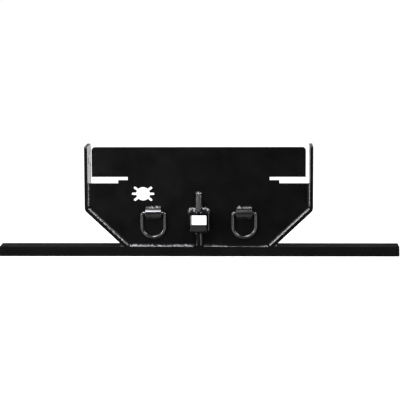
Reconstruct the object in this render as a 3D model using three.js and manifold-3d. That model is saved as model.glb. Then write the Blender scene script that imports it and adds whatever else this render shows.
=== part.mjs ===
// Truck hitch plate: a steel plate with bent side plates that bolt to the truck's frame rails, a full-width
// channel along the bottom, a receiver tube for a ball mount, and two rings for safety chains.
// Millimetres, +Z up. X runs across the truck, and the side that faces the trailer looks towards -Y.

import * as THREE from 'three';
import { mergeVertices } from 'three/addons/utils/BufferGeometryUtils.js';
import Module from 'manifold-3d';

const wasm = await Module();
wasm.setup();

// ---------------------------------------------------------------- driving dimensions
// Y is measured from the front edges of the side plates. The last lines of the file centre the whole part.

const INCH = 25.4;
const GAP = 0.3;                          // clearance between neighbouring pieces
const PLATE = 0.5 * INCH;                 // thickness of the plates and ribs

// Rolled channel, web on top and flanges down.
const CHANNEL_LENGTH = 1584;
const CHANNEL_DEPTH = 4 * INCH;
const CHANNEL_HEIGHT = 38.6;
const CHANNEL_WEB = 4.7;
const FLANGE_TOE = 4.9;                   // flange thickness at its toe
const FLANGE_ROOT = 9.2;                  // flange thickness where the root fillet starts
const ROOT_FILLET = 6;
const TOE_CHAMFER = 1.5;
const CHANNEL_CORNER = 2;

// Side plates, bent from flat bar: upright at the top, sloping in to the channel below.
const SIDE_OUTER = 451;                   // half the width over the side plates
const SIDE_TOP = 435;
const SIDE_DEPTH = 6.75 * INCH;
const SIDE_FRONT_CORNER = 0.25 * INCH;
const SIDE_REAR_CORNER = INCH;
const BEND_HEIGHT = 183;                  // where the two outer faces would meet
const BEND_RADIUS = 1 * INCH;             // radius of the outer face
const SLOPE = THREE.MathUtils.degToRad(43.2);
const BOLT = 17.5;
const BOLT_HOLES = [                      // distance behind the front edge, height, length of the hole
  { y: 62, z: 374, length: 30 },
  { y: 84, z: 402, length: BOLT },
  { y: 134, z: 353, length: BOLT },
  { y: 134, z: 410, length: BOLT },
];

// Main plate, set back from the front edges, with room for a frame rail's web and flange on each side.
const PLATE_FRONT = 10;
const PLATE_BACK = PLATE_FRONT + PLATE;
const TAB_TOP = 433;
const TAB_HALF = 422;
const TAB_CORNER = 13;
const SLOT_TOP = 315.5;
const SLOT_STEP = 302;
const SLOT_BOTTOM = 289.4;
const SLOT_STEP_X = 318;
const SLOT_END_X = 280;

// Cutout for a trailer socket: a round hole with slots around it.
const SOCKET_X = -220;
const SOCKET_Z = 248;
const SOCKET_RADIUS = 27;
const SOCKET_REACH = 44.5;
const SOCKET_SLOT = 10;
const SOCKET_ANGLES = [0, 37, 143, 180, 217, 323];

// Receiver tube for a 2.5 inch shank.
const TUBE_SIZE = 3 * INCH;
const TUBE_BORE = 2.5 * INCH;
const TUBE_CENTRE = 140;
const TUBE_FRONT = -65;
const TUBE_LENGTH = 7.5 * INCH;
const TUBE_CORNER = 6;
const BORE_CORNER = 3;
const MOUTH_BEVEL = 3.2;
const PIN_DIAMETER = 16.5;
const PIN_SETBACK = 42;                   // pin hole, behind the mouth

// Ribs above and below the tube.
const UPPER_RIB_TOP = 248;
const UPPER_RIB_REACH = 50;
const LOWER_RIB_REACH = 58;
const RIB_NOSE = 6;                       // blunt end of a rib

// Chain rings and the clips that hold them.
const RING_X = 179.5;
const RING_ROD = 0.5 * INCH;
const RING_AXIS_Y = 2;
const RING_AXIS_Z = 172.7;
const RING_HALF = 45.4;                   // half the width, to the middle of the rod
const RING_LEG = 50.5;                    // straight leg, from the hinge axis to where the bow starts
const RING_CORNER = 8;
const RING_STEPS = 84;
const CLIP_WIDTH = 63;
const CLIP_OUTER = 18.5;
const CLIP_INNER = 8;

// Weld beads.
const FILLET = 9.4;
const TUBE_TOP_FILLET = 18;               // taller bead on top of the tube: up the plate,
const TUBE_TOP_REACH = 8;                // out along the tube,
const TUBE_TOP_SPAN = 26;                 // and half its width where it is tallest
const RIB_FILLET = 6.4;
const CLIP_FILLET_TOP = 9.4;
const CLIP_FILLET_BOTTOM = 5;
const BULGE = 0.62;                       // crown of a bead, as a part of each leg; 0.5 would be flat
const CHANNEL_WELD_END = 272;
const REAR_WELD_START = 90;
const REAR_WELD_END = 240;
const OVERHANG_WELD_LENGTH = 96;
const SLOPE_WELD_STEPS = 60;
const BEAD_BREAK = 1.2;                   // gap between the end of one bead and the start of the next

// Derived sizes.
const CHANNEL_TOP = CHANNEL_HEIGHT + GAP;
const TUBE_HALF = TUBE_SIZE / 2;
const TUBE_TOP = TUBE_CENTRE + TUBE_HALF;
const TUBE_BOTTOM = TUBE_CENTRE - TUBE_HALF;
const RIB_HALF = PLATE / 2;
const SIDES = { left: -1, right: 1 };

// ---------------------------------------------------------------- outlines and solids

const v2 = (x, y) => new THREE.Vector2(x, y);
const mirrored = (points) => points.map((p) => v2(-p.x, p.y)).reverse();

function line(x1, y1, x2, y2) {
  return new THREE.LineCurve3(new THREE.Vector3(x1, y1, 0), new THREE.Vector3(x2, y2, 0));
}

function arc(cx, cy, radius, from, to, steps) {
  const points = [];
  for (let i = 0; i <= steps; i += 1) {
    const angle = THREE.MathUtils.degToRad(from + ((to - from) * i) / steps);
    points.push(v2(cx + radius * Math.cos(angle), cy + radius * Math.sin(angle)));
  }
  return points;
}

const circle = (radius, sides) => arc(0, 0, radius, 0, 360, sides).slice(1);

function roundedSquare(half, corner) {
  const inset = half - corner;
  return [
    ...arc(inset, inset, corner, 0, 90, 4),
    ...arc(-inset, inset, corner, 90, 180, 4),
    ...arc(-inset, -inset, corner, 180, 270, 4),
    ...arc(inset, -inset, corner, 270, 360, 4),
  ];
}

// A hole with round ends, standing upright.
function uprightSlot(cx, cy, width, length) {
  const reach = (length - width) / 2;
  return [...arc(cx, cy + reach, width / 2, 0, 180, 12), ...arc(cx, cy - reach, width / 2, 180, 360, 12)];
}

// Turns that stand a flat outline up: one drawn as X and Z is extruded towards -Y, and one drawn as Y and Z
// is extruded towards +X.
const FACING_FRONT = new THREE.Euler(Math.PI / 2, 0, 0);
const FACING_SIDE = new THREE.Euler(Math.PI / 2, Math.PI / 2, 0);

function extrude(points, depth, holes = []) {
  const shape = new THREE.Shape(points);
  shape.holes = holes.map((hole) => new THREE.Path(hole));
  return new THREE.ExtrudeGeometry(shape, { depth, bevelEnabled: false });
}

function stood(geometry, turn, x, y, z) {
  return geometry.applyMatrix4(new THREE.Matrix4().makeRotationFromEuler(turn).setPosition(x, y, z));
}

function toSolid(geometry) {
  const bare = geometry.clone();
  bare.deleteAttribute('normal');
  bare.deleteAttribute('uv');
  const merged = mergeVertices(bare);
  return new wasm.Manifold(new wasm.Mesh({
    numProp: 3,
    vertProperties: new Float32Array(merged.attributes.position.array),
    triVerts: new Uint32Array(merged.index.array),
  }));
}

function toGeometry(solid) {
  const mesh = solid.getMesh();
  const geometry = new THREE.BufferGeometry();
  geometry.setAttribute('position', new THREE.BufferAttribute(mesh.vertProperties, 3));
  geometry.setIndex(new THREE.BufferAttribute(mesh.triVerts, 1));
  return geometry;
}

// A four-sided tapered block around the Y axis, from y = near to y = far.
function taper(nearHalf, farHalf, near, far) {
  const block = new THREE.CylinderGeometry(farHalf * Math.SQRT2, nearHalf * Math.SQRT2, far - near, 4, 1);
  return toSolid(block.rotateY(Math.PI / 4).translate(0, (near + far) / 2, 0));
}

const FINISHES = {
  plate: { color: 0x161617, roughness: 0.42, metalness: 0.25 },
  channel: { color: 0x1c1c1d, roughness: 0.5, metalness: 0.2 },
  weld: { color: 0x2a2a2c, roughness: 0.28, metalness: 0.4 },
  ring: { color: 0x1b1b1d, roughness: 0.3, metalness: 0.4 },
};

function node(name, finish, geometry, turn = new THREE.Euler()) {
  const mesh = new THREE.Mesh(geometry, new THREE.MeshStandardMaterial(FINISHES[finish]));
  mesh.name = name;
  mesh.rotation.copy(turn);
  return mesh;
}

// ---------------------------------------------------------------- channel

function bottomChannel() {
  const ceiling = CHANNEL_HEIGHT - CHANNEL_WEB;
  const bend = ceiling - ROOT_FILLET;
  const root = FLANGE_ROOT + ROOT_FILLET;
  const shoulder = CHANNEL_HEIGHT - CHANNEL_CORNER;
  const profile = [
    v2(0, 0),
    v2(FLANGE_TOE - TOE_CHAMFER, 0),
    v2(FLANGE_TOE, TOE_CHAMFER),
    ...arc(root, bend, ROOT_FILLET, 180, 90, 4),
    ...arc(CHANNEL_DEPTH - root, bend, ROOT_FILLET, 90, 0, 4),
    v2(CHANNEL_DEPTH - FLANGE_TOE, TOE_CHAMFER),
    v2(CHANNEL_DEPTH - FLANGE_TOE + TOE_CHAMFER, 0),
    v2(CHANNEL_DEPTH, 0),
    ...arc(CHANNEL_DEPTH - CHANNEL_CORNER, shoulder, CHANNEL_CORNER, 0, 90, 4),
    ...arc(CHANNEL_CORNER, shoulder, CHANNEL_CORNER, 90, 180, 4),
  ];
  const mesh = node('bottom_channel', 'channel', extrude(profile, CHANNEL_LENGTH), FACING_SIDE);
  mesh.position.x = -CHANNEL_LENGTH / 2;
  return mesh;
}

// ---------------------------------------------------------------- side plates and main plate

// The bent line that lies a set distance inside the right side plate's outer face, from high to low.
function flank(inset, high, low) {
  const turn = Math.PI / 2 - SLOPE;
  const centreZ = BEND_HEIGHT + BEND_RADIUS * Math.tan(turn / 2);
  const end = -THREE.MathUtils.radToDeg(turn);
  const bend = arc(SIDE_OUTER - BEND_RADIUS, centreZ, BEND_RADIUS - inset, 0, end, 6);
  const last = bend[bend.length - 1];
  return [v2(SIDE_OUTER - inset, high), ...bend, v2(last.x - (last.y - low) / Math.tan(SLOPE), low)];
}

function sidePlate(side) {
  const strip = [...flank(0, SIDE_TOP, CHANNEL_TOP), ...flank(PLATE, SIDE_TOP, CHANNEL_TOP).reverse()];
  const bent = stood(extrude(strip, SIDE_DEPTH), FACING_FRONT, 0, SIDE_DEPTH, 0);
  const profile = [
    v2(0, 0),
    v2(SIDE_DEPTH, 0),
    ...arc(SIDE_DEPTH - SIDE_REAR_CORNER, SIDE_TOP - SIDE_REAR_CORNER, SIDE_REAR_CORNER, 0, 90, 8),
    ...arc(SIDE_FRONT_CORNER, SIDE_TOP - SIDE_FRONT_CORNER, SIDE_FRONT_CORNER, 90, 180, 4),
  ];
  const holes = BOLT_HOLES.map((hole) => uprightSlot(hole.y, hole.z, BOLT, hole.length));
  const rounded = stood(extrude(profile, CHANNEL_LENGTH / 2, holes), FACING_SIDE, 0, 0, 0);
  const plate = toSolid(bent).intersect(toSolid(rounded));
  return node(`${side}_side_plate`, 'plate', toGeometry(SIDES[side] > 0 ? plate : plate.mirror([1, 0, 0])));
}

function socketCutter(depth) {
  const reach = SOCKET_REACH - SOCKET_SLOT / 2;
  const half = SOCKET_SLOT / 2;
  const slot = [v2(0, -half), ...arc(reach, 0, half, -90, 90, 8), v2(0, half)];
  const slots = SOCKET_ANGLES.map((angle) => {
    const turned = extrude(slot, depth).rotateZ(THREE.MathUtils.degToRad(angle));
    return toSolid(turned);
  });
  const hole = toSolid(extrude(circle(SOCKET_RADIUS, 48), depth));
  return toGeometry(slots.reduce((all, next) => all.add(next), hole));
}

function mainPlate() {
  const right = [
    ...arc(TAB_HALF - TAB_CORNER, TAB_TOP - TAB_CORNER, TAB_CORNER, 90, 0, 6),
    v2(TAB_HALF, SLOT_TOP),
    v2(SLOT_END_X, SLOT_TOP),
    v2(SLOT_END_X, SLOT_STEP),
    v2(SLOT_STEP_X, SLOT_STEP),
    v2(SLOT_STEP_X, SLOT_BOTTOM),
    ...flank(PLATE + GAP, SLOT_BOTTOM, CHANNEL_TOP),
  ];
  const tubeHole = roundedSquare(TUBE_HALF + GAP, TUBE_CORNER + GAP).map((p) => v2(p.x, p.y + TUBE_CENTRE));
  const blank = extrude([...right, ...mirrored(right)], PLATE, [tubeHole]);
  const cutter = socketCutter(3 * PLATE).translate(SOCKET_X, SOCKET_Z, -PLATE);
  const pierced = toSolid(blank).subtract(toSolid(cutter));
  const mesh = node('main_plate', 'plate', toGeometry(pierced), FACING_FRONT);
  mesh.position.y = PLATE_BACK;
  return mesh;
}

// ---------------------------------------------------------------- receiver tube and ribs

function receiverTube() {
  const bore = TUBE_BORE / 2;
  const outline = roundedSquare(TUBE_HALF, TUBE_CORNER);
  const wall = extrude(outline, TUBE_LENGTH, [roundedSquare(bore, BORE_CORNER)]);
  const tube = toSolid(stood(wall, FACING_FRONT, 0, TUBE_LENGTH, 0));
  const mouth = taper(bore + MOUTH_BEVEL + 1, 0, -1, bore + MOUTH_BEVEL);
  const drill = extrude(circle(PIN_DIAMETER / 2, 24), 2 * TUBE_SIZE);
  const pin = stood(drill, FACING_SIDE, -TUBE_SIZE, PIN_SETBACK, 0);
  const mesh = node('receiver_tube', 'plate', toGeometry(tube.subtract(mouth).subtract(toSolid(pin))));
  mesh.position.set(0, TUBE_FRONT, TUBE_CENTRE);
  return mesh;
}

function rib(name, profile) {
  const mesh = node(name, 'plate', extrude(profile, PLATE), FACING_SIDE);
  mesh.position.x = -RIB_HALF;
  return mesh;
}

function ribs() {
  const wall = PLATE_FRONT - GAP;
  const foot = TUBE_TOP + GAP;
  const head = TUBE_BOTTOM - GAP;
  const upper = rib('upper_rib', [
    v2(wall, foot),
    v2(wall, UPPER_RIB_TOP),
    v2(wall - RIB_NOSE, UPPER_RIB_TOP),
    v2(wall - UPPER_RIB_REACH, foot + RIB_NOSE),
    v2(wall - UPPER_RIB_REACH, foot),
  ]);
  const lower = rib('lower_rib', [
    v2(wall, CHANNEL_TOP),
    v2(wall, head),
    v2(wall - LOWER_RIB_REACH, head),
    v2(wall - LOWER_RIB_REACH, head - RIB_NOSE),
    v2(0, CHANNEL_TOP + RIB_NOSE),
    v2(0, CHANNEL_TOP),
  ]);
  return [upper, lower];
}

// ---------------------------------------------------------------- chain rings

// The ring is drawn hanging from its hinge axis, which runs across through the origin.
function ringGeometry() {
  const turn = RING_HALF - RING_CORNER;
  const meet = 6;
  const path = new THREE.Path();
  path.moveTo(-meet, 0);
  path.lineTo(-turn, 0);
  path.absarc(-turn, -RING_CORNER, RING_CORNER, Math.PI / 2, Math.PI, false);
  path.lineTo(-RING_HALF, -RING_LEG);
  path.absarc(0, -RING_LEG, RING_HALF, Math.PI, 2 * Math.PI, false);
  path.lineTo(RING_HALF, -RING_CORNER);
  path.absarc(turn, -RING_CORNER, RING_CORNER, 0, Math.PI / 2, false);
  path.lineTo(meet, 0);
  const points = path.getSpacedPoints(RING_STEPS).map((p) => new THREE.Vector3(p.x, p.y, 0));
  const section = new THREE.Shape(circle(RING_ROD / 2, 12));
  const bow = new THREE.ExtrudeGeometry(section, {
    steps: RING_STEPS,
    extrudePath: new THREE.CatmullRomCurve3(points),
  });
  const bar = new THREE.ExtrudeGeometry(section, { steps: 1, extrudePath: line(-meet - 2, 0, meet + 2, 0) });
  return toGeometry(toSolid(bow).add(toSolid(bar)));
}

// A strap bent round the ring's hinge bar, with both ends on the plate.
function clipGeometry() {
  const wall = PLATE_FRONT - GAP - RING_AXIS_Y;
  const profile = [
    v2(wall, CLIP_OUTER),
    ...arc(0, 0, CLIP_OUTER, 90, 270, 16),
    v2(wall, -CLIP_OUTER),
    v2(wall, -CLIP_INNER),
    ...arc(0, 0, CLIP_INNER, 270, 90, 12),
    v2(wall, CLIP_INNER),
  ];
  return extrude(profile, CLIP_WIDTH);
}

// A ring, its clip, and the beads above and below the clip, around the hinge axis.
function chainRing(side) {
  const group = new THREE.Group();
  group.position.set(SIDES[side] * RING_X, RING_AXIS_Y, RING_AXIS_Z);
  const ring = node(`${side}_d_ring`, 'ring', ringGeometry(), FACING_FRONT);
  const clip = node(`${side}_ring_clip`, 'plate', clipGeometry(), FACING_SIDE);
  clip.position.x = -CLIP_WIDTH / 2;
  const across = line(-CLIP_WIDTH / 2, 0, CLIP_WIDTH / 2, 0);
  const beads = [['top', 1, CLIP_FILLET_TOP], ['bottom', -1, CLIP_FILLET_BOTTOM]].map(([place, up, leg]) => {
    const bead = filletGeometry(across, 1, up * leg, leg);
    const mesh = node(`${side}_clip_weld_${place}`, 'weld', bead, FACING_FRONT);
    mesh.position.set(0, PLATE_FRONT - RING_AXIS_Y, up * CLIP_OUTER);
    return mesh;
  });
  group.add(ring, clip, ...beads);
  return group;
}

// ---------------------------------------------------------------- weld beads

// A fillet bead whose root follows a curve drawn in a flat plane. One leg lies in the plane, to the left of
// the way the curve runs (to the right when negative), and the other stands up from the plane (down when
// negative). The face between them bulges a little.
function filletGeometry(curve, steps, left, up) {
  const gapLeft = GAP * Math.sign(left);
  const gapUp = GAP * Math.sign(up);
  const section = [v2(-gapUp, gapLeft), v2(-gapUp, left), v2(-BULGE * up, BULGE * left), v2(-up, gapLeft)];
  return new THREE.ExtrudeGeometry(new THREE.Shape(section), { steps, extrudePath: curve });
}

// Beads along the foot of the main plate, on the channel, in front and behind.
function channelWelds(side) {
  const sign = SIDES[side];
  const start = sign * (RIB_HALF + FILLET + 2 * GAP);
  const frontLine = line(start, 0, sign * CHANNEL_WELD_END, 0);
  const frontBead = filletGeometry(frontLine, 1, sign * FILLET, FILLET);
  const front = node(`${side}_channel_weld`, 'weld', frontBead, FACING_FRONT);
  front.position.set(0, PLATE_FRONT, CHANNEL_HEIGHT);
  const rearLine = line(sign * REAR_WELD_START, 0, sign * REAR_WELD_END, 0);
  const rearBead = filletGeometry(rearLine, 1, sign * FILLET, -FILLET);
  const rear = node(`${side}_rear_channel_weld`, 'weld', rearBead, FACING_FRONT);
  rear.position.set(0, PLATE_BACK, CHANNEL_HEIGHT);
  return [front, rear];
}

// Beads where the main plate meets a side plate: upright, then round the bend and down the slope.
function flankWelds(side) {
  const sign = SIDES[side];
  const [top, bend, ...below] = flank(PLATE, SLOT_BOTTOM, CHANNEL_TOP + GAP);
  const slope = new THREE.CurvePath();
  [bend, ...below].slice(1).forEach((p, i) => {
    const from = [bend, ...below][i];
    slope.add(line(sign * from.x, from.y, sign * p.x, p.y));
  });
  const upright = line(sign * top.x, top.y - GAP, sign * bend.x, bend.y + BEAD_BREAK);
  const stretches = [['upper', upright, 1], ['lower', slope, SLOPE_WELD_STEPS]];
  return stretches.map(([place, curve, steps]) => {
    const bead = filletGeometry(curve, steps, -sign * FILLET, FILLET);
    const mesh = node(`${side}_side_weld_${place}`, 'weld', bead, FACING_FRONT);
    mesh.position.y = PLATE_FRONT;
    return mesh;
  });
}

// Bead on the channel under the overhang of a side plate, running front to back.
function overhangWeld(side) {
  const foot = flank(0, SIDE_TOP, CHANNEL_TOP).pop().x + GAP / Math.sin(SLOPE);
  const outline = [
    v2(foot, CHANNEL_TOP),
    v2(foot + FILLET, CHANNEL_TOP),
    v2(foot + FILLET * Math.cos(SLOPE), CHANNEL_TOP + FILLET * Math.sin(SLOPE)),
  ];
  const bead = extrude(SIDES[side] > 0 ? outline : mirrored(outline), OVERHANG_WELD_LENGTH);
  const mesh = node(`${side}_overhang_weld`, 'weld', bead, FACING_FRONT);
  mesh.position.y = (CHANNEL_DEPTH + OVERHANG_WELD_LENGTH) / 2;
  return mesh;
}

// Beads around the tube: two halves in front, parted by the ribs and their beads, and a ring behind.
function tubeWelds() {
  const foot = TUBE_HALF + FILLET;
  const tubeRoom = extrude(roundedSquare(TUBE_HALF + GAP, TUBE_CORNER + GAP), 2 * TUBE_LENGTH);
  const tube = toSolid(stood(tubeRoom, FACING_FRONT, 0, TUBE_LENGTH, 0));
  const slab = (halfWidth, low, high) => {
    const box = new THREE.BoxGeometry(2 * halfWidth, TUBE_LENGTH, high - low);
    return toSolid(box.translate(0, 0, (low + high) / 2));
  };
  const hump = stood(extrude([
    v2(-foot, TUBE_HALF - 1),
    v2(foot, TUBE_HALF - 1),
    v2(TUBE_TOP_SPAN, TUBE_HALF + TUBE_TOP_FILLET),
    v2(-TUBE_TOP_SPAN, TUBE_HALF + TUBE_TOP_FILLET),
  ], TUBE_LENGTH), FACING_FRONT, 0, 0, 0);
  const wedge = taper(TUBE_HALF, TUBE_HALF + TUBE_TOP_FILLET, -TUBE_TOP_REACH, -GAP);
  const topBead = wedge.intersect(toSolid(hump));
  const front = taper(TUBE_HALF, foot, -FILLET, -GAP).add(topBead).subtract(tube)
    .subtract(slab(RIB_HALF + RIB_FILLET + GAP, 0, 2 * TUBE_SIZE))
    .subtract(slab(RIB_HALF + FILLET + GAP, -2 * TUBE_SIZE, 0));
  const half = (sign) => {
    const box = new THREE.BoxGeometry(TUBE_SIZE, TUBE_LENGTH, 2 * TUBE_SIZE);
    return toSolid(box.translate((sign * TUBE_SIZE) / 2, 0, 0));
  };
  const meshes = Object.entries(SIDES).map(([side, sign]) => {
    const mesh = node(`${side}_tube_weld`, 'weld', toGeometry(front.intersect(half(sign))));
    mesh.position.set(0, PLATE_FRONT, TUBE_CENTRE);
    return mesh;
  });
  const rear = node('rear_tube_weld', 'weld', toGeometry(taper(foot, TUBE_HALF, GAP, FILLET).subtract(tube)));
  rear.position.set(0, PLATE_BACK, TUBE_CENTRE);
  return [...meshes, rear];
}

// Beads beside a rib: up the plate and along the tube, joined where they meet. The path runs from the
// plate's far end to the inner corner, then to the rib's nose.
function ribWeld(name, side, leg, far, corner, nose) {
  const sign = SIDES[side];
  const turn = Math.sign(far - corner);
  const along = filletGeometry(line(PLATE_FRONT, far, PLATE_FRONT, corner), 1, -turn * leg, sign * leg);
  const out = filletGeometry(line(PLATE_FRONT, corner, nose, corner), 1, -turn * leg, sign * leg);
  const mesh = node(name, 'weld', toGeometry(toSolid(along).add(toSolid(out))), FACING_SIDE);
  mesh.position.x = sign * RIB_HALF;
  return mesh;
}

function ribWelds(side) {
  const wall = PLATE_FRONT - GAP;
  const head = UPPER_RIB_TOP - GAP;
  const foot = CHANNEL_TOP + GAP;
  return [
    ribWeld(`${side}_upper_rib_weld`, side, RIB_FILLET, head, TUBE_TOP, wall - UPPER_RIB_REACH),
    ribWeld(`${side}_lower_rib_weld`, side, FILLET, foot, TUBE_BOTTOM, wall - LOWER_RIB_REACH),
  ];
}

// Bead across the top of the upper rib.
function ribCapWeld() {
  const half = RIB_HALF + RIB_FILLET;
  const bead = filletGeometry(line(-half, 0, half, 0), 1, RIB_FILLET, RIB_FILLET);
  const mesh = node('upper_rib_cap_weld', 'weld', bead, FACING_FRONT);
  mesh.position.set(0, PLATE_FRONT, UPPER_RIB_TOP);
  return mesh;
}

// ---------------------------------------------------------------- assembly

const assembly = new THREE.Group();
assembly.add(bottomChannel(), mainPlate(), receiverTube(), ...ribs(), ...tubeWelds(), ribCapWeld());
for (const side of Object.keys(SIDES)) {
  assembly.add(sidePlate(side), chainRing(side), overhangWeld(side));
  assembly.add(...channelWelds(side), ...flankWelds(side), ...ribWelds(side));
}

// The origin sits under the middle of the part's box.
assembly.position.y = -(TUBE_FRONT + SIDE_DEPTH) / 2;

const hitchPlate = new THREE.Group();
hitchPlate.add(assembly);

export default hitchPlate;
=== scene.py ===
import math

import bmesh
import bpy
import numpy as np
from mathutils import Matrix, Vector, noise


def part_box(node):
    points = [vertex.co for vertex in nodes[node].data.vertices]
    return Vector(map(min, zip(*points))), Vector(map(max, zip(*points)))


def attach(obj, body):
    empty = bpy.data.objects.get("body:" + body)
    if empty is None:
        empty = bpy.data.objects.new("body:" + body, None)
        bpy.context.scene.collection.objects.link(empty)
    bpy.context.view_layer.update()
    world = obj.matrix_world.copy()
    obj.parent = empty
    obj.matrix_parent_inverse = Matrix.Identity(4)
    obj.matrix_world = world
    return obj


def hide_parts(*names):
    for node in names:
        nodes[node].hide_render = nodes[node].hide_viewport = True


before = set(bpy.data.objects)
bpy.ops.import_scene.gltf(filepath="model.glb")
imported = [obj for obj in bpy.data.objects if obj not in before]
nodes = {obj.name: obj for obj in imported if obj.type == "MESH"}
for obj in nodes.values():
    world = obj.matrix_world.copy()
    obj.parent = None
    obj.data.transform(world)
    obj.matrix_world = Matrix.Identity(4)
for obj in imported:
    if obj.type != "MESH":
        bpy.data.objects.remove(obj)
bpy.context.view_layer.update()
SIDES = {"left": -1, "right": 1}

# ---------------------------------------------------------------- measures, in metres, as in the CAD source

SLOPE = math.radians(43.2)        # of the side plates below their bend, from level
BEND_RADIUS = 0.0254              # of the side plates' outer face
BEND_HEIGHT = 0.183               # where that face would turn if its bend were sharp
FILLET = 0.0094                   # leg of the large beads
RIB_FILLET = 0.0064               # leg of the beads on the upper rib
RING_CORNER = 0.008               # radius of a ring's two upper corners, to the middle of its rod
TUBE_CORNER = 0.006
TUBE_TOP_FILLET = 0.018           # leg up the plate of the bead on top of the tube
TUBE_TOP_REACH = 0.008            # leg of the same bead along the tube
TUBE_TOP_SPAN = 0.026             # half the length over which that bead has its full height

plate_low, plate_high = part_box("main_plate")
side_low, side_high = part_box("right_side_plate")
_, channel_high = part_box("bottom_channel")
tube_low, tube_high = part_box("receiver_tube")
rib_low, rib_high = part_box("upper_rib")
lower_rib_low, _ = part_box("lower_rib")

PLATE_FACE = plate_low.y
PLATE_BACK = plate_high.y
PLATE_THICKNESS = PLATE_BACK - PLATE_FACE
CHANNEL_TOP = channel_high.z
SIDE_OUTER = side_high.x
TUBE_CENTRE = (tube_low.z + tube_high.z) / 2
TUBE_HALF = (tube_high.x - tube_low.x) / 2
RIB_HALF = rib_high.x

# ---------------------------------------------------------------- shader nodes

BLUE_CAST = 1.02


def add(tree, kind, inputs=None, **settings):
    """A new shader node, its inputs linked to sockets or set to values."""
    made = tree.nodes.new(kind)
    for key, value in settings.items():
        setattr(made, key, value)
    for key, value in (inputs or {}).items():
        socket = made.inputs[key]
        if isinstance(value, bpy.types.NodeSocket):
            tree.links.new(value, socket)
        else:
            socket.default_value = value
    return made


def grey(value):
    return (value, value, value * BLUE_CAST, 1.0)


def noise_field(tree, place, scale, detail, roughness):
    made = add(tree, "ShaderNodeTexNoise", {"Vector": place, "Scale": scale, "Detail": detail,
                                            "Roughness": roughness})
    return made.outputs["Fac"]


def rescale(tree, value, start, end, low=0.0, high=1.0, curve="LINEAR"):
    """Maps start to low and end to high, and holds both beyond them."""
    made = add(tree, "ShaderNodeMapRange", {"Value": value, "From Min": start, "From Max": end, "To Min": low,
                                            "To Max": high}, interpolation_type=curve)
    return made.outputs[0]


def product(tree, a, b):
    return add(tree, "ShaderNodeMath", {0: a, 1: b}, operation="MULTIPLY").outputs[0]


def total(tree, first, *others):
    for other in others:
        first = add(tree, "ShaderNodeMath", {0: first, 1: other}, operation="ADD").outputs[0]
    return first


def blend(tree, share, under, over):
    made = add(tree, "ShaderNodeMix", {"Factor": share, "A": under, "B": over}, data_type="RGBA")
    return made.outputs["Result"]


# ---------------------------------------------------------------- powder coats

CLOUD_SCALE = 11.0
CLOUD_TONES = (0.7, 1.35)         # the darkest and lightest clouds, as shares of the coat's tone
CLOUD_GLOSS = (-0.05, 0.06)       # and what they add to its roughness
FINE_SCALE = 420.0
DUST_SCALE = 230.0
DUST_TONE = 0.06
EDGE_TONE = 0.05
EDGE_RADIUS = 0.0016
PEEL_DEPTH = 0.0004
GRAIN_STRENGTH = 0.25
GRAIN_DEPTH = 0.0005
FILM_IOR = 1.9
FILM_ROUGHNESS = 0.14


def dust_specks(tree, place, clouds):
    """Small round specks, only where the clouds are dense."""
    cells = add(tree, "ShaderNodeTexVoronoi", {"Vector": place, "Scale": DUST_SCALE, "Randomness": 1.0})
    specks = rescale(tree, cells.outputs["Distance"], start=0.05, end=0.11, low=1.0, high=0.0)
    return product(tree, specks, rescale(tree, clouds, start=0.52, end=0.7))


def worn_edges(tree, fine, wear):
    """How worn the film is: up to wear along the edges, broken up by the fine noise."""
    edge_normal = add(tree, "ShaderNodeBevel", {"Radius": EDGE_RADIUS}, samples=4).outputs["Normal"]
    true_normal = add(tree, "ShaderNodeNewGeometry").outputs["Normal"]
    along = add(tree, "ShaderNodeVectorMath", {0: edge_normal, 1: true_normal}, operation="DOT_PRODUCT")
    edge = rescale(tree, along.outputs["Value"], start=0.97, end=0.75, low=0.0, high=wear)
    return product(tree, edge, fine)


def film_normal(tree, place, fine, peel, grain):
    """Orange peel, with long rolling marks over it where grain gives their scale along each axis."""
    bump = add(tree, "ShaderNodeBump", {"Height": fine, "Strength": peel, "Distance": PEEL_DEPTH})
    if grain:
        stretched = add(tree, "ShaderNodeMapping", {"Vector": place, "Scale": grain}).outputs["Vector"]
        marks = noise_field(tree, stretched, scale=1.0, detail=5.0, roughness=0.7)
        bump = add(tree, "ShaderNodeBump", {"Height": marks, "Strength": GRAIN_STRENGTH,
                                            "Distance": GRAIN_DEPTH, "Normal": bump.outputs["Normal"]})
    return bump.outputs["Normal"]


def coat(name, tone, rough, peel, specular, grain=None, wear=0.5, gloss_film=0.0):
    """Black powder coat with orange peel, clouds in its gloss, dust, and a thin, light film on the edges."""
    material = bpy.data.materials.new(name)
    material.use_nodes = True
    tree = material.node_tree
    tree.nodes.clear()
    place = add(tree, "ShaderNodeTexCoord").outputs["Object"]
    clouds = noise_field(tree, place, CLOUD_SCALE, detail=4.0, roughness=0.6)
    fine = noise_field(tree, place, FINE_SCALE, detail=3.0, roughness=0.55)
    clean = blend(tree, clouds, *(grey(tone * share) for share in CLOUD_TONES))
    dusty = blend(tree, dust_specks(tree, place, clouds), clean, grey(DUST_TONE))
    edged = blend(tree, worn_edges(tree, fine, wear), dusty, grey(EDGE_TONE))
    gloss = rescale(tree, clouds, 0.3, 0.7, *(rough + change for change in CLOUD_GLOSS))
    normal = film_normal(tree, place, fine, peel, grain)
    shader = add(tree, "ShaderNodeBsdfPrincipled", {
        "Base Color": edged, "Roughness": gloss, "Normal": normal, "Specular IOR Level": specular,
        "Coat Weight": gloss_film, "Coat IOR": FILM_IOR, "Coat Roughness": FILM_ROUGHNESS,
        "Coat Normal": normal})
    add(tree, "ShaderNodeOutputMaterial", {"Surface": shader.outputs["BSDF"]})
    return material


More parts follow.
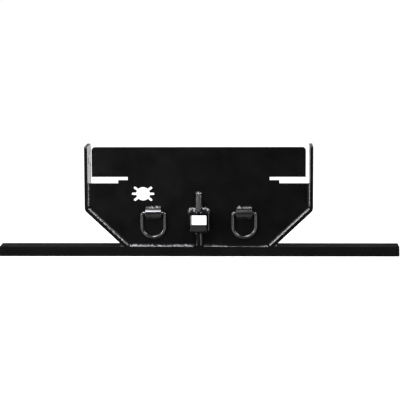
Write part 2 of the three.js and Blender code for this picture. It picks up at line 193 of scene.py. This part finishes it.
plate_coat = coat("plate_coat", tone=0.0018, rough=0.33, peel=0.12, specular=0.4)
channel_coat = coat("channel_coat", tone=0.0085, rough=0.5, peel=0.2, specular=0.009,
                    grain=(3.0, 260.0, 260.0), wear=0.4)
tube_coat = coat("tube_coat", tone=0.004, rough=0.43, peel=0.1, specular=0.02)
weld_coat = coat("weld_coat", tone=0.012, rough=0.2, peel=0.05, specular=1.0, wear=0.0, gloss_film=1.0)
ring_coat = coat("ring_coat", tone=0.008, rough=0.22, peel=0.06, specular=1.0, wear=0.0, gloss_film=1.0)


def paint(piece, material):
    piece.data.materials.clear()
    piece.data.materials.append(material)


# ---------------------------------------------------------------- CAD nodes that stay

SHARP_EDGE = 0.0006               # widths of the rounded edges
SAWN_EDGE = 0.0009
FORMED_EDGE = 0.0012
MERGE_DISTANCE = 0.00002
FLAT_ANGLE = math.radians(0.4)
BEVEL_ANGLE = math.radians(28)


def dress(name, material, edge_width):
    """Paints a CAD node and rounds its edges."""
    piece = nodes[name]
    paint(piece, material)
    mesh = piece.data
    if "custom_normal" in mesh.attributes:
        mesh.attributes.remove(mesh.attributes["custom_normal"])
    mesh.polygons.foreach_set("use_smooth", [True] * len(mesh.polygons))
    weld = piece.modifiers.new("weld", "WELD")
    weld.merge_threshold = MERGE_DISTANCE
    flat = piece.modifiers.new("flat", "DECIMATE")
    flat.decimate_type = "DISSOLVE"
    flat.angle_limit = FLAT_ANGLE
    edge = piece.modifiers.new("bevel", "BEVEL")
    edge.width = edge_width
    edge.segments = 3
    edge.limit_method = "ANGLE"
    edge.angle_limit = BEVEL_ANGLE
    edge.use_clamp_overlap = False
    edge.miter_outer = "MITER_ARC"
    edge.harden_normals = False
    shade = piece.modifiers.new("shade", "WEIGHTED_NORMAL")
    shade.mode = "FACE_AREA"
    shade.weight = 80
    shade.keep_sharp = True


dress("main_plate", plate_coat, SHARP_EDGE)
dress("bottom_channel", channel_coat, SHARP_EDGE)
dress("receiver_tube", tube_coat, SAWN_EDGE)
dress("upper_rib", plate_coat, SAWN_EDGE)
dress("lower_rib", plate_coat, SAWN_EDGE)
for side in SIDES:
    dress(f"{side}_side_plate", plate_coat, SHARP_EDGE)
    dress(f"{side}_ring_clip", ring_coat, FORMED_EDGE)


# ---------------------------------------------------------------- meshes built here

FRONT, BACK, UP, DOWN, RIGHT = (
    np.array(v, float) for v in ((0, -1, 0), (0, 1, 0), (0, 0, 1), (0, 0, -1), (1, 0, 0)))


def turn_outward(mesh):
    """Turns the faces of a closed mesh outward."""
    work = bmesh.new()
    work.from_mesh(mesh)
    bmesh.ops.recalc_face_normals(work, faces=work.faces)
    work.to_mesh(mesh)
    work.free()


def new_piece(name, points, faces, material, body, replaced):
    """A closed, smooth mesh that takes the place of one CAD node."""
    mesh = bpy.data.meshes.new(name)
    mesh.from_pydata([tuple(p) for p in points], [], [tuple(f) for f in faces])
    mesh.polygons.foreach_set("use_smooth", [True] * len(mesh.polygons))
    mesh.validate()
    piece = bpy.data.objects.new(name, mesh)
    bpy.context.scene.collection.objects.link(piece)
    paint(piece, material)
    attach(piece, body)
    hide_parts(replaced)
    turn_outward(mesh)


def resample(points, step):
    """Points at even spacing along a line of points, and how far along it each one lies."""
    points = np.array(points, float)
    runs = np.linalg.norm(np.diff(points, axis=0), axis=1)
    passed = np.concatenate([[0], np.cumsum(runs)])
    count = max(4, int(round(passed[-1] / step)))
    where = np.linspace(0, passed[-1], count + 1)
    spaced = np.stack([np.interp(where, passed, points[:, k]) for k in range(3)], axis=1)
    return spaced, where


def wobble(where, seed, scale):
    """Smooth noise along a line, with humps about as long as scale."""
    return np.array([noise.noise(Vector((s / scale, seed * 7.31, seed * 1.7))) for s in where])


def tube_faces(rings, around, closed):
    """Faces between rings of points, with the last ring joined to the first when closed."""
    faces = []
    for i in range(rings if closed else rings - 1):
        j = (i + 1) % rings
        for k in range(around):
            m = (k + 1) % around
            faces.append((i * around + k, i * around + m, j * around + m, j * around + k))
    return faces


def joined(parts):
    """One mesh's points and faces from those of several."""
    points, faces, base = [], [], 0
    for part_points, part_faces in parts:
        points.append(part_points)
        faces += [tuple(base + i for i in f) for f in part_faces]
        base += len(part_points)
    return np.concatenate(points), faces


# ---------------------------------------------------------------- weld beads

PROFILE_STEPS = 10
BEAD_STEP = 0.00042
RIPPLE_PITCH = 0.0034             # from one ripple to the next
RIPPLE_DRIFT = 0.9                # how far, in ripples, the spacing wanders
DRIFT_LENGTH = 5                  # over how many ripples it does so
RIPPLE_SHARPNESS = 0.7
RIPPLE_MIDDLE = 0.6
RIPPLE_LEAD = 0.42                # how far, in ripples, the crown runs ahead of the toes
RAGGED_LENGTH = 0.018
LUMP_LENGTH = 0.007
LEAN_LENGTH = 0.009
TIP_LENGTH = 0.7                  # of the rounded end, in legs
TIP_SIZE = 0.12                   # of the very end, as a share of the bead
ROOT_SINK = 0.00035               # how deep a bead's toes start in the steel
CORNER_SINK = 0.0004              # how much deeper its hidden corner lies


def tip_sizes(where, leg):
    """Sizes along an open bead, with both ends rounded off."""
    sizes = np.ones(len(where))
    for gone in (where, where[-1] - where):
        near = np.clip(gone / (TIP_LENGTH * leg), 0, 1)
        sizes *= np.maximum(TIP_SIZE, np.sqrt(1 - (1 - near) ** 2))
    return sizes


def bead_mesh(path, out, up, seed, legs=(FILLET, FILLET), crown=1.38, closed=False, swell=None, ripple=0.07,
              ragged=0.08, lumps=0.1):
    """Points and faces of a bead whose root is path, with one leg along out and one along up.

    A crown of 1 makes the face round and 2 makes it flat. swell(root) gives the two legs' own sizes.
    """
    root, where = resample(path, BEAD_STEP)
    if closed:
        root, where = root[:-1], where[:-1]
    count = len(root)
    out_at = out(root) if callable(out) else np.tile(out, (count, 1))
    up_at = np.tile(up, (count, 1))
    theta = np.linspace(0, math.pi / 2, PROFILE_STEPS)
    beat = where / RIPPLE_PITCH + RIPPLE_DRIFT * wobble(where, seed, RIPPLE_PITCH * DRIFT_LENGTH)
    phase = beat[:, None] + RIPPLE_LEAD * np.sin(2 * theta)[None, :]
    wave = np.abs(np.sin(math.pi * phase)) ** RIPPLE_SHARPNESS - RIPPLE_MIDDLE
    wide = 1 + ragged * wobble(where, seed + 11, RAGGED_LENGTH)
    wide += lumps * wobble(where, seed + 23, LUMP_LENGTH)
    if not closed:
        wide *= tip_sizes(where, max(legs))
    size = wide[:, None] * (1 + ripple * wave)
    lean = lumps * wobble(where, seed + 37, LEAN_LENGTH)
    more_out, more_up = swell(root) if swell else (1, 1)
    along_out = legs[0] * size * (more_out * (1 + lean))[:, None] * np.cos(theta)[None, :] ** crown
    along_up = legs[1] * size * (more_up * (1 - lean))[:, None] * np.sin(theta)[None, :] ** crown
    start = root - ROOT_SINK * (out_at + up_at)
    skin = start[:, None, :] + along_out[:, :, None] * out_at[:, None, :]
    skin += along_up[:, :, None] * up_at[:, None, :]
    corner = start - CORNER_SINK * (out_at + up_at)
    rings = np.concatenate([skin, corner[:, None, :]], axis=1)
    around = PROFILE_STEPS + 1
    faces = tube_faces(count, around, closed)
    if not closed:
        faces.append(tuple(range(around)))
        faces.append(tuple((count - 1) * around + k for k in reversed(range(around))))
    return rings.reshape(-1, 3), faces


def bead(name, replaced, *parts):
    """One or more bead meshes as the piece that takes the place of a CAD bead."""
    points, faces = joined(parts)
    new_piece(name, points, faces, weld_coat, "hitch_plate", replaced)


def on_face(*places):
    """Points on the main plate's front face, from pairs of x and height."""
    return [(x, PLATE_FACE, z) for x, z in places]


# ---------------------------------------------------------------- beads on the channel

CHANNEL_RUN_OUT = 0.005           # how far the front beads run on past the CAD beads' outer ends
THIN_X = 0.17                     # the middle of the thin stretch
THIN_HALF = 0.09
THIN_OUT = 0.372                  # share of the leg on the channel that is missing there
THIN_UP = 0.682                   # and of the leg on the main plate


def channel_swell(root):
    """The front bead runs thinner over a stretch on the right, where the weld was quicker."""
    thin = np.exp(-((root[:, 0] - THIN_X) / THIN_HALF) ** 4)
    return 1 - THIN_OUT * thin, 1 - THIN_UP * thin


def channel_beads(side, sign):
    """Beads between the main plate and the channel, front and rear."""
    low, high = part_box(f"{side}_channel_weld")
    near, far = sorted((low.x, high.x), key=abs)
    path = on_face((near, CHANNEL_TOP), (far + sign * CHANNEL_RUN_OUT, CHANNEL_TOP))
    bead(f"bead_{side}_channel", f"{side}_channel_weld", bead_mesh(
        path, FRONT, UP, seed=3 + sign, ragged=0.16, lumps=0.3, swell=channel_swell))
    low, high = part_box(f"{side}_rear_channel_weld")
    path = [(low.x, PLATE_BACK, CHANNEL_TOP), (high.x, PLATE_BACK, CHANNEL_TOP)]
    bead(f"bead_{side}_rear_channel", f"{side}_rear_channel_weld", bead_mesh(path, BACK, UP, seed=7 + sign))


# ---------------------------------------------------------------- beads on the side plates

BEND_STEPS = 24
FLANK_GAP = 0.0006                # between the foot of the sloping bead and the channel


def flank_path(sign):
    """The side plate's inner face on the main plate's front, round the bend and down the slope."""
    turn = math.pi / 2 - SLOPE
    centre_x = SIDE_OUTER - BEND_RADIUS
    centre_z = BEND_HEIGHT + BEND_RADIUS * math.tan(turn / 2)
    radius = BEND_RADIUS - PLATE_THICKNESS
    angles = [-turn * i / BEND_STEPS for i in range(BEND_STEPS + 1)]
    line = [(centre_x + radius * math.cos(angle), centre_z + radius * math.sin(angle)) for angle in angles]
    bend_x, bend_z = line[-1]
    foot = CHANNEL_TOP + FLANK_GAP
    line.append((bend_x - (bend_z - foot) / math.tan(SLOPE), foot))
    return on_face(*((sign * x, z) for x, z in line))


def inward(root, sign):
    """Unit vectors in the main plate's plane, square to the side plate's inner face and away from it."""
    step = np.gradient(root, axis=0)
    step /= np.linalg.norm(step, axis=1)[:, None]
    square = np.stack([step[:, 2], np.zeros(len(step)), -step[:, 0]], axis=1)
    flip = np.where(square[:, 0] * sign > 0, -1.0, 1.0)
    return square * flip[:, None]


def side_plate_beads(side, sign):
    """Beads between the main plate and a side plate, along its upright and round its bend and slope."""
    low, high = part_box(f"{side}_side_weld_upper")
    inner = sign * (SIDE_OUTER - PLATE_THICKNESS)
    bead(f"bead_{side}_side_upper", f"{side}_side_weld_upper", bead_mesh(
        on_face((inner, high.z), (inner, low.z)), -sign * RIGHT, FRONT, seed=11 + sign))
    bead(f"bead_{side}_side_lower", f"{side}_side_weld_lower", bead_mesh(
        flank_path(sign), lambda root: inward(root, sign), FRONT, seed=15 + sign))


def overhang_bead(side, sign):
    """The bead on the channel under the overhang of a side plate."""
    low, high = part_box(f"{side}_overhang_weld")
    foot = sign * min(abs(low.x), abs(high.x))
    path = [(foot, low.y, CHANNEL_TOP), (foot, high.y, CHANNEL_TOP)]
    up_the_slope = np.array((sign * math.cos(SLOPE), 0, math.sin(SLOPE)))
    bead(f"bead_{side}_overhang", f"{side}_overhang_weld", bead_mesh(
        path, sign * RIGHT, up_the_slope, seed=19 + sign, crown=2.0))


# ---------------------------------------------------------------- beads on the straps and ribs

def clip_beads(side, sign):
    """Beads above and below the strap that holds a ring."""
    for place, up, seed in (("top", UP, 23), ("bottom", DOWN, 27)):
        low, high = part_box(f"{side}_clip_weld_{place}")
        root_z = low.z if place == "top" else high.z
        leg = high.z - low.z
        path = on_face((low.x, root_z), (high.x, root_z))
        bead(f"bead_{side}_clip_{place}", f"{side}_clip_weld_{place}", bead_mesh(
            path, FRONT, up, seed=seed + sign, legs=(leg, leg), ragged=0.25, lumps=0.35))


RIGHT_RIB_SIZE = 0.85
LEFT_RIB_SIZE = 0.3
BLOB_SIZE = 0.8
BLOB_HEIGHT = 0.012


def lower_rib_swell(root, side):
    """Even on the right. On the left the bead is thin, with a blob at its foot."""
    if side == "right":
        size = np.full(len(root), RIGHT_RIB_SIZE)
    else:
        size = LEFT_RIB_SIZE + BLOB_SIZE * np.exp((CHANNEL_TOP - root[:, 2]) / BLOB_HEIGHT)
    return size, size


def rib_beads(side, sign):
    """Beads beside the two ribs, each down the plate and along the tube."""
    edge = sign * RIB_HALF
    away = sign * RIGHT
    small = (RIB_FILLET, RIB_FILLET)
    path = on_face((edge, rib_high.z), (edge, tube_high.z))
    on_plate = bead_mesh(path, away, FRONT, seed=31 + sign, legs=small, lumps=0.25)
    path = [(edge, PLATE_FACE, tube_high.z), (edge, rib_low.y, tube_high.z)]
    on_tube = bead_mesh(path, away, UP, seed=35 + sign, legs=small)
    bead(f"bead_{side}_upper_rib", f"{side}_upper_rib_weld", on_plate, on_tube)
    path = on_face((edge, CHANNEL_TOP), (edge, tube_low.z))
    on_plate = bead_mesh(path, away, FRONT, seed=39 + sign, swell=lambda root: lower_rib_swell(root, side))
    path = [(edge, PLATE_FACE, tube_low.z), (edge, lower_rib_low.y, tube_low.z)]
    on_tube = bead_mesh(path, away, DOWN, seed=43 + sign)
    bead(f"bead_{side}_lower_rib", f"{side}_lower_rib_weld", on_plate, on_tube)


for side, sign in SIDES.items():
    channel_beads(side, sign)
    side_plate_beads(side, sign)
    overhang_bead(side, sign)
    clip_beads(side, sign)
    rib_beads(side, sign)

# ---------------------------------------------------------------- beads around the tube

TUBE_CORNER_STEPS = 10
RIB_CLEARANCE = 0.002             # between a rib and the ends of the tube's front beads
TUBE_TOP_END = TUBE_HALF + 0.004  # x at which the tall bead on top would be down to the usual size
SIDE_SIZE = 0.42                  # of the beads beside and under the tube
SHOULDER = 0.75                   # share of the tube's half height from which they grow
TOP_START = 0.9                   # and from which the bead counts as the one on top


def tube_outline():
    """Points around the tube's section as x and height from its middle, from +X over the top."""
    inset = TUBE_HALF - TUBE_CORNER
    points = []
    for quarter, (across, up) in enumerate(((1, 1), (-1, 1), (-1, -1), (1, -1))):
        for i in range(TUBE_CORNER_STEPS + 1):
            angle = math.radians(quarter * 90 + 90 * i / TUBE_CORNER_STEPS)
            points.append((across * inset + TUBE_CORNER * math.cos(angle),
                           up * inset + TUBE_CORNER * math.sin(angle)))
    return points


def tube_out(root):
    """Unit vectors square to the tube's outline, away from it."""
    inset = TUBE_HALF - TUBE_CORNER
    x, z = root[:, 0], root[:, 2] - TUBE_CENTRE
    away = np.stack([x - np.clip(x, -inset, inset), np.zeros(len(x)), z - np.clip(z, -inset, inset)], axis=1)
    return away / np.linalg.norm(away, axis=1)[:, None]


def tube_half_path(sign):
    """Half of the tube's outline on the main plate's front, from the lower rib to the upper rib."""
    half = [p for p in tube_outline() if p[0] > 0]
    half.sort(key=lambda p: math.atan2(p[1], p[0]))
    start = RIB_HALF + RIB_CLEARANCE
    points = [(start, -TUBE_HALF), *half, (start, TUBE_HALF)]
    return on_face(*((sign * x, TUBE_CENTRE + z) for x, z in points))


def tube_swell(root):
    """The bead is tall on top of the tube, and thin beside and under it."""
    height = (root[:, 2] - TUBE_CENTRE) / TUBE_HALF
    on_top = np.clip((height - TOP_START) / (1 - TOP_START), 0, 1)
    share = on_top * np.clip((TUBE_TOP_END - np.abs(root[:, 0])) / (TUBE_TOP_END - TUBE_TOP_SPAN), 0, 1)
    beside = SIDE_SIZE + (1 - SIDE_SIZE) * np.clip((height - SHOULDER) / (1 - SHOULDER), 0, 1)
    return beside + share * (TUBE_TOP_FILLET / FILLET - 1), beside + share * (TUBE_TOP_REACH / FILLET - 1)


for side, sign in SIDES.items():
    bead(f"bead_{side}_tube", f"{side}_tube_weld", bead_mesh(
        tube_half_path(sign), tube_out, FRONT, seed=47 + sign, ragged=0.14, lumps=0.22, swell=tube_swell))

rear_ring = [(x, PLATE_BACK, TUBE_CENTRE + z) for x, z in tube_outline()]
bead("bead_rear_tube", "rear_tube_weld", bead_mesh(
    rear_ring + rear_ring[:1], tube_out, BACK, seed=53, closed=True))

CAP_OVERHANG = 0.0015
CAP_HALF = RIB_HALF + RIB_FILLET + CAP_OVERHANG
CAP_LEGS = (RIB_FILLET * 1.2, RIB_FILLET * 1.35)
bead("bead_upper_rib_cap", "upper_rib_cap_weld", bead_mesh(
    on_face((-CAP_HALF, rib_high.z), (CAP_HALF, rib_high.z)), FRONT, UP, seed=57, legs=CAP_LEGS, ripple=0.12,
    ragged=0.2, lumps=0.3))

# ---------------------------------------------------------------- chain rings

RING_CORNER_STEPS = 10
RING_BOW_STEPS = 64
RING_STEP = 0.0016
ROD_POINTS = 28
ROD_UNEVEN = 0.012
DENT_LENGTH = 0.03


def arc(centre_x, centre_z, radius, start, turn, steps):
    """Points on an arc as x and height, from angle start through turn, both ends included."""
    angles = [start + turn * i / steps for i in range(steps + 1)]
    return [(centre_x + radius * math.cos(angle), centre_z + radius * math.sin(angle)) for angle in angles]


def ring_centreline(half, leg):
    """The middle of a D ring's rod, from the middle of its straight bar and once round."""
    quarter = math.pi / 2
    inset = half - RING_CORNER
    return [(0.0, 0.0),
            *arc(-inset, -RING_CORNER, RING_CORNER, quarter, quarter, RING_CORNER_STEPS),
            *arc(0.0, -leg, half, math.pi, math.pi, RING_BOW_STEPS),
            *arc(inset, -RING_CORNER, RING_CORNER, 0.0, quarter, RING_CORNER_STEPS),
            (0.0, 0.0)]


def d_ring(side, seed):
    """A chain ring as one smooth rod, a little uneven and never outside its CAD node."""
    low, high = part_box(f"{side}_d_ring")
    rod = high.y - low.y
    half = (high.x - low.x - rod) / 2
    leg = (high.z - low.z) - rod - half
    bar = np.array(((low.x + high.x) / 2, (low.y + high.y) / 2, high.z - rod / 2))
    path, where = resample([(x, 0.0, z) for x, z in ring_centreline(half, leg)], RING_STEP)
    path, where = path[:-1], where[:-1]
    step = np.roll(path, -1, axis=0) - np.roll(path, 1, axis=0)
    step /= np.linalg.norm(step, axis=1)[:, None]
    in_plane = np.stack([step[:, 2], np.zeros(len(step)), -step[:, 0]], axis=1)
    angles = np.linspace(0, 2 * math.pi, ROD_POINTS, endpoint=False)[None, :, None]
    radius = rod / 2 * (1 - ROD_UNEVEN - ROD_UNEVEN * np.abs(wobble(where, seed, DENT_LENGTH)))
    offset = radius[:, None, None] * (np.cos(angles) * in_plane[:, None, :] + np.sin(angles) * BACK)
    points = (path[:, None, :] + offset).reshape(-1, 3) + bar
    new_piece(f"{side}_ring_rod", points, tube_faces(len(path), ROD_POINTS, True), ring_coat,
              f"{side}_ring", f"{side}_d_ring")


d_ring("left", seed=61)
d_ring("right", seed=67)

# ---------------------------------------------------------------- floor

FLOOR_GAP = 0.0004
FLOOR_HALF = 9
FLOOR_FRONT = -7
FLOOR_TONE = (0.85, 0.85, 0.85, 1)
FLOOR_ROUGHNESS = 0.9
FLOOR_GLOW = 0.9


def pale_floor():
    """A bright white floor under the part, kept out of its reflections."""
    mesh = bpy.data.meshes.new("floor")
    corners = [(-FLOOR_HALF, FLOOR_FRONT, 0), (FLOOR_HALF, FLOOR_FRONT, 0), (FLOOR_HALF, FLOOR_HALF, 0),
               (-FLOOR_HALF, FLOOR_HALF, 0)]
    mesh.from_pydata(corners, [], [(0, 1, 2, 3)])
    floor = bpy.data.objects.new("floor", mesh)
    bpy.context.scene.collection.objects.link(floor)
    floor.location.z = -FLOOR_GAP
    floor.visible_glossy = False
    floor.visible_diffuse = False
    pale = bpy.data.materials.new("pale_floor")
    pale.use_nodes = True
    shader = pale.node_tree.nodes["Principled BSDF"]
    shader.inputs["Base Color"].default_value = FLOOR_TONE
    shader.inputs["Roughness"].default_value = FLOOR_ROUGHNESS
    shader.inputs["Emission Color"].default_value = (1, 1, 1, 1)
    shader.inputs["Emission Strength"].default_value = FLOOR_GLOW
    mesh.materials.append(pale)


pale_floor()

# ---------------------------------------------------------------- surroundings

BACKDROP = 1.02                   # brightness of the white that the camera sees
DIM_ROOM = 0.04                   # brightness of the dark room that the part reflects


def studio_world():
    """A white backdrop for the camera. The part reflects a dark room with soft glows in it."""
    world = bpy.data.worlds.new("studio")
    bpy.context.scene.world = world
    world.use_nodes = True
    tree = world.node_tree
    tree.nodes.clear()
    direction = add(tree, "ShaderNodeSeparateXYZ", {0: add(tree, "ShaderNodeTexCoord").outputs["Generated"]})
    x, y, z = direction.outputs

    def ramp(value, start, end, low, high):
        return rescale(tree, value, start, end, low, high, curve="SMOOTHSTEP")

    behind = ramp(y, start=0.2, end=0.85, low=0.0, high=1.0)
    low_glow = ramp(z, start=0.09, end=0.14, low=1.65, high=0.0)
    high_glow = ramp(z, start=0.1, end=0.8, low=0.0, high=0.22)
    floor_glow = ramp(z, start=-0.6, end=-0.25, low=0.15, high=0.0)
    left_glow = ramp(x, start=-0.6, end=-0.2, low=0.9, high=0.0)
    right_glow = ramp(x, start=0.25, end=0.65, low=0.0, high=0.75)
    in_front = ramp(y, start=-0.35, end=-0.1, low=1.0, high=0.0)
    near_level = ramp(z, start=-0.02, end=0.12, low=1.0, high=0.0)
    side_glow = product(tree, product(tree, total(tree, left_glow, right_glow), in_front), near_level)
    room = total(tree, product(tree, behind, low_glow), high_glow, side_glow, floor_glow, DIM_ROOM)
    seen = add(tree, "ShaderNodeLightPath").outputs["Is Camera Ray"]
    level = add(tree, "ShaderNodeMix", {"Factor": seen, "A": room, "B": BACKDROP}, data_type="FLOAT")
    background = add(tree, "ShaderNodeBackground", {"Color": (1, 1, 1, 1), "Strength": level.outputs[0]})
    add(tree, "ShaderNodeOutputWorld", {"Surface": background.outputs[0]})


studio_world()


def softbox(name, place, target, width, height, radiance, tint=(1.0, 1.0, 1.0)):
    """A rectangular lamp at place that faces target."""
    lamp = bpy.data.lights.new(name, "AREA")
    lamp.color = tint
    lamp.shape = "RECTANGLE"
    lamp.size = width
    lamp.size_y = height
    lamp.energy = radiance * math.pi * width * height
    box = bpy.data.objects.new(name, lamp)
    bpy.context.scene.collection.objects.link(box)
    box.location = place
    box.rotation_euler = (Vector(target) - Vector(place)).to_track_quat("-Z", "Y").to_euler()
    box.visible_camera = False


MIDDLE = (0, 0, 0.2)
LEFT_OF_MIDDLE = (-0.4, 0, 0.2)
FAR_LEFT = (-0.7, 0, 0.2)
softbox("softbox_top", (-0.75, 0.2, 2.5), LEFT_OF_MIDDLE, width=1.4, height=1.0, radiance=4.0)
softbox("softbox_front", (-0.7, -1.25, 1.95), LEFT_OF_MIDDLE, width=1.0, height=1.3, radiance=9.0,
        tint=(0.93, 0.93, 1.0))
softbox("softbox_left", (-2.5, -2.6, 1.2), FAR_LEFT, width=1.0, height=1.2, radiance=11.0)
softbox("softbox_right", (1.7, -1.0, 1.6), MIDDLE, width=0.8, height=1.0, radiance=7.0)

# ---------------------------------------------------------------- camera

CAMERA_X = 0.2253
CAMERA_DISTANCE = 7.2             # in front of the side plates
CAMERA_HEIGHT = 1.1505
YAW = math.radians(1.749)
PITCH = math.radians(7.32)
ROLL = math.radians(-0.214)
LENS = 165.8
SENSOR = 36
FAR_CLIP = 60

camera = bpy.data.objects.new("camera", bpy.data.cameras.new("camera"))
bpy.context.scene.collection.objects.link(camera)
camera.location = (CAMERA_X, side_low.y - CAMERA_DISTANCE, CAMERA_HEIGHT)
level_aim = Matrix.Rotation(YAW, 4, "Z") @ Matrix.Rotation(math.pi / 2 - PITCH, 4, "X")
camera.rotation_euler = (level_aim @ Matrix.Rotation(ROLL, 4, "Z")).to_euler()
camera.data.sensor_width = SENSOR
camera.data.lens = LENS
camera.data.clip_end = FAR_CLIP
bpy.context.scene.camera = camera

settings = bpy.context.scene.view_settings
settings.view_transform = "Standard"
settings.look = "None"
